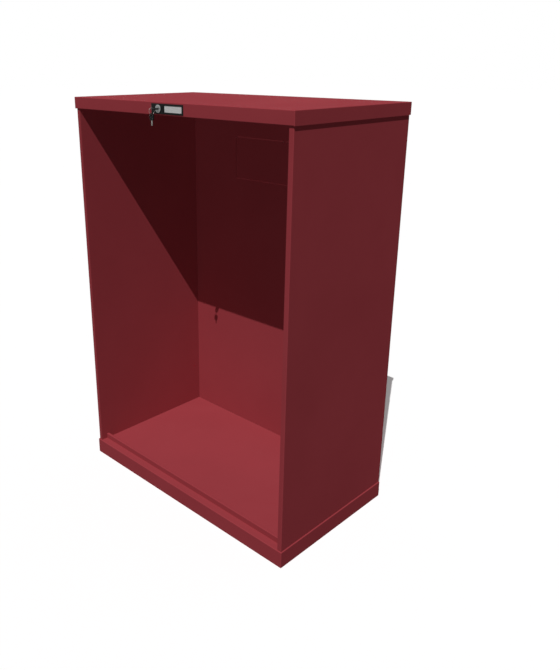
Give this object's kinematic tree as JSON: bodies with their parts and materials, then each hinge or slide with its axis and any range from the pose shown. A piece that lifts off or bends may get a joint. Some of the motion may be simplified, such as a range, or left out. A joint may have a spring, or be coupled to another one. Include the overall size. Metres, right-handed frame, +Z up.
{
  "type": "book drop box",
  "caption": "Free-standing sheet-steel book drop box with an open front, a capped top that carries a keyed lock and a label, and a rear drop slot with a push flap.",
  "frame": {"origin": "on the floor, at the middle of the cabinet's width and of its depth from the cap's front lip to the rear plane, on the underside of the base pan", "axes": "+Z up; -Y towards the open front, the lock and the label; +X to the right of a person who faces the front"},
  "size_m": [0.804, 0.4805, 1.14],
  "materials": {
    "red_powder_coat": "satin powder coat, fine orange peel",
    "painted_rivets": "satin powder coat",
    "galvanised_sheet": "galvanised",
    "bright_steel": "zinc plated",
    "lock_chrome": "satin chrome",
    "key_steel": "nickel plated",
    "black_moulding": "satin moulded",
    "black_grip": "moulded",
    "black_rubber": "matte",
    "grey_card": "blank card",
    "clear_window": "clear moulded"
  },
  "bodies": {
    "cabinet": {"base_tray": "red_powder_coat", "base_pan": "red_powder_coat", "base_channels": "galvanised_sheet", "stop_rail": "red_powder_coat", "left_side_skin": "red_powder_coat", "left_side_liner": "red_powder_coat", "right_side_skin": "red_powder_coat", "right_side_liner": "red_powder_coat", "side_channels": "galvanised_sheet", "back_panel": "red_powder_coat", "slot_frame": "red_powder_coat", "slot_frame_rivets": "painted_rivets", "flap_pin": "bright_steel", "flap_buffers": "black_rubber", "ceiling_panel": "red_powder_coat", "cap_top": "red_powder_coat", "cap_channels": "galvanised_sheet", "cap_brackets": "red_powder_coat", "bracket_screws": "bright_steel", "base_bolts": "bright_steel", "base_nuts": "bright_steel", "back_rivets": "painted_rivets", "lock_bezel": "black_moulding", "label_window": "clear_window", "label_card": "grey_card", "lock_barrel": "lock_chrome", "lock_nut": "bright_steel"},
    "lock": {"lock_plug": "lock_chrome", "lock_cam": "bright_steel", "cam_screw": "bright_steel"},
    "key": {"key_blade": "key_steel", "key_grip": "black_grip"},
    "ring": {"key_ring": "key_steel"},
    "spare_key": {"spare_key_blade": "key_steel", "spare_key_grip": "black_grip"},
    "flap": {"drop_flap": "red_powder_coat"}
  },
  "joints": [
    {"name": "lock_turn", "type": "hinge", "parent": "cabinet", "child": "lock", "pos_m": [-0.032, -0.228, 1.124], "axis": [0, 1, 0], "range_deg": [0, 90]},
    {"name": "key_pull", "type": "slide", "parent": "lock", "child": "key", "axis": [0, -1, 0], "range_m": [0, 0.016]},
    {"name": "ring_swing", "type": "hinge", "parent": "key", "child": "ring", "pos_m": [-0.032, -0.2469, 1.1192], "axis": [1, 0, 0], "range_deg": [-60, 20]},
    {"name": "spare_key_swing", "type": "hinge", "parent": "ring", "child": "spare_key", "pos_m": [-0.032, -0.2469, 1.1112], "axis": [0, 1, 0], "range_deg": [-35, 35]},
    {"name": "flap_swing", "type": "hinge", "parent": "cabinet", "child": "flap", "pos_m": [0, 0.22, 1.0115], "axis": [-1, 0, 0], "range_deg": [0, 75]}
  ]
}
